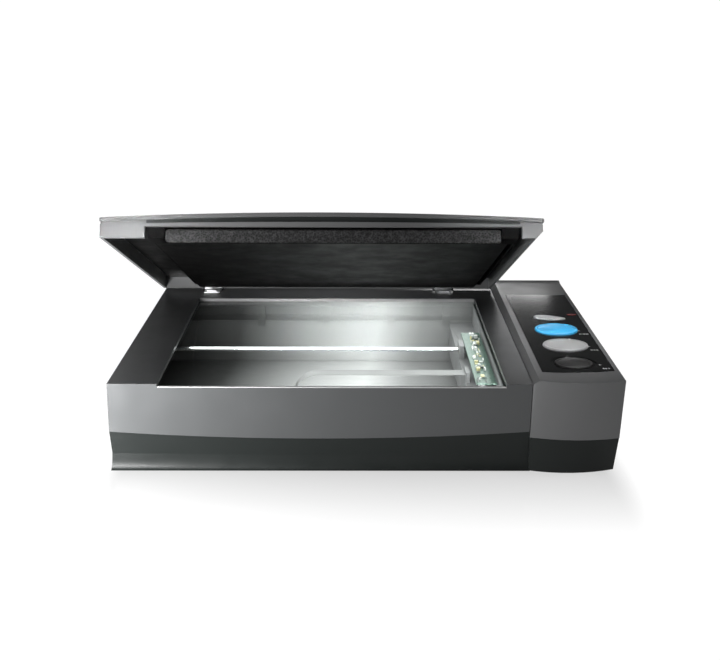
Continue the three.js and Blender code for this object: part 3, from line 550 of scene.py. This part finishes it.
def foam_pad():
    """The book pad: a block of open foam with a slightly uneven cut face and rounded edges."""
    section = foam_section()
    middle_z = (FOAM["z0"] + FOAM["z1"]) / 2
    rings = []
    for i in range(FOAM_STATIONS + 1):
        x = FOAM["x0"] + 0.3 + (FOAM["x1"] - FOAM["x0"] - 0.6) * i / FOAM_STATIONS
        end = min(i, FOAM_STATIONS - i)
        pull = END_PULL[end] if end < len(END_PULL) else 1.0
        ring = []
        for y, z in section:
            rough = (noise.noise(Vector((x * 0.5, y * 0.5, z * 0.5)))
                     + 0.6 * noise.noise(Vector((x * 1.3, y * 1.3, z * 1.3))))
            sag = noise.noise(Vector((x * 0.03, 0.0, z * 0.05)))
            moved_y, moved_z = y, middle_z + (z - middle_z) * pull
            if y < FOAM["y0"] + 6:
                moved_y = y + 0.28 + 0.3 * rough + 0.25 * sag
            if z > FOAM["z1"] - 3:
                moved_z -= 0.3 + 0.25 * abs(rough)
            ring.append(on_lid(x, moved_y, moved_z))
        rings.append(ring)
    pad = loft("book_pad_foam", rings, "foam", "lid")
    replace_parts(pad, "foam_pad")


def chamfered_box(points, faces, low, high, edge):
    """Adds a closed box with its top edges cut at 45 degrees to the lists."""
    start = len(points)
    (x0, y0, z0), (x1, y1, z1) = low, high
    for inset, z in ((0, z0), (0, z1 - edge), (edge, z1)):
        left, right, front, rear = x0 + inset, x1 - inset, y0 + inset, y1 - inset
        points += [Vector(c) * MM for c in ((left, front, z), (right, front, z),
                                            (right, rear, z), (left, rear, z))]
    for row in (0, 4):
        for i in range(4):
            j = (i + 1) % 4
            faces.append(tuple(start + row + k for k in (i, j, j + 4, i + 4)))
    faces.append(tuple(start + k for k in (3, 2, 1, 0)))
    faces.append(tuple(start + k for k in (8, 9, 10, 11)))


PART_EDGE = 0.2            # millimetres cut off the top edges of the small parts
SENSOR_BOARD_TOP = 67.62
MAIN_BOARD_TOP = 47.62


def sensor_parts():
    """Small chips, capacitors and connectors along the carriage's board."""
    spread = random.Random(41)
    groups = {"pale": ("white_strip", "part_grey"), "ochre": ("brass", "part_ochre"),
              "dark": ("satin_black", "part_dark")}
    made = {key: ([], []) for key in groups}
    y, board_end = -91.0, 30
    while y < board_end:
        share = (y + 94) / 120
        left = 104.2 + 6.8 * share
        right = 114.5 + 6.0 * share
        deep = spread.choice((1.6, 2.2, 3.4, 5.0))
        x = left + spread.uniform(0, 1.5)
        while True:
            wide = spread.choice((1.0, 1.6, 2.4, 3.6))
            if x + wide > right:
                break
            key = spread.choice(("pale", "pale", "ochre", "dark", "gap", "gap"))
            tall = spread.choice((0.8, 1.2, 2.0, 3.2))
            if key != "gap":
                chamfered_box(*made[key], (x, y, SENSOR_BOARD_TOP),
                              (x + wide, y + deep, SENSOR_BOARD_TOP + tall), PART_EDGE)
            x += wide + spread.uniform(0.5, 1.4)
        y += deep + spread.uniform(0.8, 2.4)
    for key, (points, faces) in made.items():
        slot_name, look = groups[key]
        add_piece("sensor_parts_" + key, points, faces, slot_name, "carriage", False,
                  MATERIALS[look])


def window_rim_highlights():
    """The lip along the front of the glass and the step behind it, made pale as painted highlights
    where their edges catch light.
    """
    rims = (("rim_front", "rim_painted_highlight", (-179.6, -134.2, 81.35), (123.8, -132.0, 82.2)),
            ("rim_rear", "rim_painted_highlight_grey", (-179.6, 97.7, 81.45), (123.8, 98.25, 84.6)))
    edge = 0.12
    for name, look, low, high in rims:
        points, faces = [], []
        chamfered_box(points, faces, low, high, edge)
        add_piece(name, points, faces, "frame_plastic", "base", False, MATERIALS[look])


def bay_back():
    """The back wall of the scanning bay, below the skirt behind the glass; its grey is the painted
    light and shade grade all over.
    """
    points, faces = [], []
    chamfered_box(points, faces, (-221.0, 110.4, 5.4), (144.0, 111.4, 54.5), PART_EDGE)
    add_piece("bay_back", points, faces, "charcoal_plastic", "base", False,
              MATERIALS["bay_painted_light"])


LID_LEFT, LID_WIDTH = -226.4, 380.2
# the dark strip of painted shade in the lid's groove: its left end, length, steps, and its front
# and rear y
GROOVE_SHADE_BAND = {"left": -186.0, "length": 319.0, "steps": 48, "front": -264.4, "rear": -263.8}


def lid_groove_painted_shade():
    """A dark band of painted shade sunk in the groove along the lid's front, between the lip and
    the bead.
    """
    front, rear = GROOVE_SHADE_BAND["front"], GROOVE_SHADE_BAND["rear"]
    rings = []
    for i in range(GROOVE_SHADE_BAND["steps"] + 1):
        x = GROOVE_SHADE_BAND["left"] + GROOVE_SHADE_BAND["length"] * i / GROOVE_SHADE_BAND["steps"]
        t = (x - LID_LEFT) / LID_WIDTH
        crown = 4 * t * (1 - t)
        low, high = 11.8 + 2.3 * crown + 0.2, 13.9 + 4.8 * crown - 0.2
        corners = ((front, low), (front, high), (rear, high), (rear, low))
        rings.append([on_lid(x, y, z) for y, z in corners])
    loft("lid_groove_painted_shade", rings, "charcoal_plastic", "lid", False)


CABLE = {"front": -56.5, "rear": -44.5, "low": 7.9, "high": 60.0, "loop_x": -42.0, "half": 0.2}
LOOP_SHARE = 0.49      # how far the loop travels for each step of the carriage


def arc(x, z, radius, start, end, steps):
    """Points round (x, z) from one angle to another, in degrees."""
    turns = [math.radians(start + (end - start) * i / steps) for i in range(steps + 1)]
    return [(x + radius * math.cos(turn), z + radius * math.sin(turn)) for turn in turns]


def cable_run(name, path):
    """A flat ribbon of the cable along points in X and Z."""
    front, rear = CABLE["front"], CABLE["rear"]
    rings = []
    for i, (x, z) in enumerate(path):
        before, after = path[max(i - 1, 0)], path[min(i + 1, len(path) - 1)]
        dx, dz = after[0] - before[0], after[1] - before[1]
        length = math.hypot(dx, dz)
        ox, oz = -dz / length * CABLE["half"], dx / length * CABLE["half"]
        corners = ((x + ox, front, z + oz), (x + ox, rear, z + oz),
                   (x - ox, rear, z - oz), (x - ox, front, z - oz))
        rings.append([Vector(c) * MM for c in corners])
    return loft(name, rings, "white_strip", None, False, MATERIALS["cable_grey"])


def flat_cable():
    """The carriage's flat cable: two runs and a loop, drawn in their rest shape; no piece rides on
    the carriage.
    """
    loop_x, low, high = CABLE["loop_x"], CABLE["low"], CABLE["high"]
    radius = (high - low) / 2
    fixed, held = 168.6, 97.7
    lower = arc(174.6, 46.4, 3, 90, 180, 6) + arc(fixed, low + 3, 3, 0, -90, 6)
    lower += [(fixed + (loop_x - fixed) * i / 40, low) for i in range(1, 41)]
    upper = [(loop_x + (held - loop_x) * i / 24, high) for i in range(25)]
    runs = (("flat_cable_low", lower, fixed, fixed + (loop_x - fixed) / LOOP_SHARE),
            ("flat_cable_high", upper, held - (held - loop_x) / (1 - LOOP_SHARE), held))
    for name, path, start, end in runs:
        run = cable_run(name, path)
        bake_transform(run)
        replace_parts(run, "flat_cable")
    loop = cable_run("flat_cable_loop", arc(loop_x, low + radius, radius, 270, 90, 24))
    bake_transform(loop)
    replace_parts(loop, "flat_cable")


def main_board_parts():
    """Chips and cans on the main board in the column, seen when the cover is off."""
    spread = random.Random(7)
    points, faces = [], []
    for i in range(7):
        for j in range(3):
            x = 185 + j * 11 + spread.uniform(-1, 1)
            y = -40 + i * 20 + spread.uniform(-3, 3)
            far = (x + spread.uniform(3, 7), y + spread.uniform(3, 9), 49.2)
            chamfered_box(points, faces, (x, y, MAIN_BOARD_TOP), far, PART_EDGE)
    add_piece("main_board_chips", points, faces, "satin_black", "base", False)


SCREWS = ((-212, -122), (-212, 132), (134, 132), (216, -122))
SCREW_POINTS = 48


def cross_screws():
    """Pan-head screws up in the base's four counterbores, each with a cross recess."""
    turns = [2 * math.pi * i / SCREW_POINTS for i in range(SCREW_POINTS)]
    circle = [1.0] * SCREW_POINTS
    cross = [1.9 if abs(math.sin(2 * turn)) < 0.3 else 0.62 for turn in turns]
    # outline, its scale in millimetres, height
    profile = ((circle, 1.5, 12.0), (circle, 1.5, 3.7), (circle, 3.2, 3.7), (circle, 3.2, 3.0),
               (circle, 2.9, 2.4), (circle, 2.3, 2.05), (cross, 1.0, 2.0), (cross, 0.8, 3.2))
    for index, (x, y) in enumerate(SCREWS):
        rings = []
        for outline, scale, z in profile:
            reach = [scale * radius for radius in outline]
            rings.append([Vector((x + r * math.cos(turn), y + r * math.sin(turn), z)) * MM
                          for r, turn in zip(reach, turns)])
        sharpen(loft(f"base_screw_{index + 1}", rings, "zinc_plate", "base"))


def modelled_pieces():
    button_caps()
    scan_key()
    panel_marks()
    foam_pad()
    sensor_parts()
    flat_cable()
    window_rim_highlights()
    bay_back()
    lid_groove_painted_shade()
    main_board_parts()
    cross_screws()


# ---------------------------------------------------------------- stage
def area_light(name, place, target, size, power, spread=None):
    """A rectangular lamp aimed at a point; its spread is in degrees."""
    data = bpy.data.lights.new(name, "AREA")
    data.shape = "RECTANGLE"
    data.size, data.size_y = size
    data.energy = power
    if spread is not None:
        data.spread = math.radians(spread)
    lamp = bpy.data.objects.new(name, data)
    lamp.location = place
    lamp.visible_camera = False
    lamp.rotation_euler = (Vector(target) - Vector(place)).to_track_quat("-Z", "Y").to_euler()
    bpy.context.scene.collection.objects.link(lamp)


# name, place, target, size (metres), power (watts), spread (degrees)
LAMPS = (
    ("key_left", (-0.33, -0.34, 0.11), (-0.2, -0.12, 0.08), (0.10, 0.10), 3.0, None),
    ("lid_left", (-0.42, -0.46, 0.34), (-0.2, -0.11, 0.2), (0.08, 0.08), 0.046, 15),
    ("front_high", (-0.5, -1.0, 0.8), (-0.12, -0.1, 0.08), (0.7, 0.5), 1.0, None),
    ("rear_low", (0.32, 1.3, 0.42), (0.18, 0.0, 0.09), (0.30, 0.13), 0.62, None),
    ("back_fill", (-0.1, 1.3, 1.5), (0.0, 0.1, 0.1), (1.0, 0.6), 3.0, None),
    ("rear_left", (-0.75, 1.0, 0.36), (-0.2, -0.08, 0.09), (0.3, 0.3), 1.0, None),
    ("lid_right", (0.36, -0.46, 0.34), (0.14, -0.11, 0.2), (0.08, 0.08), 0.045, 15),
    ("panel_top", (0.34, -0.12, 0.55), (0.195, -0.05, 0.09), (0.08, 0.08), 0.09, 28),
    ("inside_glow", (0.0, -0.116, 0.066), (0.0, 0.13, 0.035), (0.28, 0.006), 0.14, 110),
    ("inside_down", (-0.03, -0.01, 0.0765), (-0.03, -0.0099, 0.0), (0.30, 0.23), 0.85, None),
)
FLOOR_BOUNCE = 0.45        # the share of its glow that the floor gives to the scene
WORLD_BOUNCE = 0.05        # the world's strength for the scene
WORLD_SEEN = 1.05          # and as the camera sees it
# the floor's glow near the scanner and far from it, and the reach of the painted shadow between
# them
GLOW_NEAR, GLOW_FAR, GLOW_REACH = 0.58, 1.0, 0.11


def floor_material():
    """White studio floor whose glow fades close to the scanner's front and sides, a painted shadow
    around it.
    """
    material, nodes, links, shader = new_material("floor_white")
    shader.inputs["Base Color"].default_value = (0.12, 0.12, 0.12, 1)
    shader.inputs["Roughness"].default_value = 0.12
    shader.inputs["Emission Color"].default_value = (1, 1, 1, 1)
    split = nodes.new("ShaderNodeSeparateXYZ")
    links.new(object_coord(nodes), split.inputs["Vector"])

    def math_node(operation, first, second):
        node = nodes.new("ShaderNodeMath")
        node.operation = operation
        for socket, value in zip(node.inputs, (first, second)):
            if isinstance(value, (int, float)):
                socket.default_value = value
            else:
                links.new(value, socket)
        return node.outputs[0]

    def past(distance, edge):
        return math_node("MAXIMUM", math_node("SUBTRACT", distance, edge), 0)

    half_width, front_edge, rear_line = 0.215, 0.13, -0.05
    across = math_node("ABSOLUTE", split.outputs["X"], 0)
    beside = math_node("MULTIPLY", past(across, half_width), 4.0)
    ahead = past(math_node("MULTIPLY", split.outputs["Y"], -1), front_edge)
    behind = past(split.outputs["Y"], rear_line)
    square = math_node("ADD", math_node("POWER", beside, 2), math_node("POWER", ahead, 2))
    square = math_node("ADD", square, math_node("POWER", behind, 2))
    away = math_node("SQRT", square, 0)
    seen = nodes.new("ShaderNodeLightPath").outputs["Is Camera Ray"]
    share = ramp(nodes, links, seen, FLOOR_BOUNCE, 1.0, (0.0, 1.0))
    painted_shadow_fade = ramp(nodes, links, away, GLOW_NEAR, GLOW_FAR, (0.0, GLOW_REACH))
    links.new(math_node("MULTIPLY", painted_shadow_fade, share), shader.inputs["Emission Strength"])
    return material


def make_stage():
    scene = bpy.context.scene
    scene.view_settings.view_transform = "Standard"
    world = bpy.data.worlds.new("studio")
    world.use_nodes = True
    scene.world = world
    nodes, links = world.node_tree.nodes, world.node_tree.links
    back = nodes["Background"]
    path = nodes.new("ShaderNodeLightPath")
    strength = nodes.new("ShaderNodeMapRange")
    strength.inputs["To Min"].default_value = WORLD_BOUNCE
    strength.inputs["To Max"].default_value = WORLD_SEEN
    links.new(path.outputs["Is Camera Ray"], strength.inputs["Value"])
    links.new(strength.outputs["Result"], back.inputs["Strength"])
    back.inputs["Color"].default_value = (1, 1, 1, 1)

    mesh = bpy.data.meshes.new("floor")
    side = 12.0
    corners = [(-side, -side, 0), (side, -side, 0), (side, side, 0), (-side, side, 0)]
    mesh.from_pydata(corners, [], [(0, 1, 2, 3)])
    floor = bpy.data.objects.new("floor", mesh)
    scene.collection.objects.link(floor)
    mesh.materials.append(floor_material())

    for lamp in LAMPS:
        area_light(*lamp)


make_camera()
MATERIALS = make_materials()
paint_cad(MATERIALS)
modelled_pieces()
make_stage()
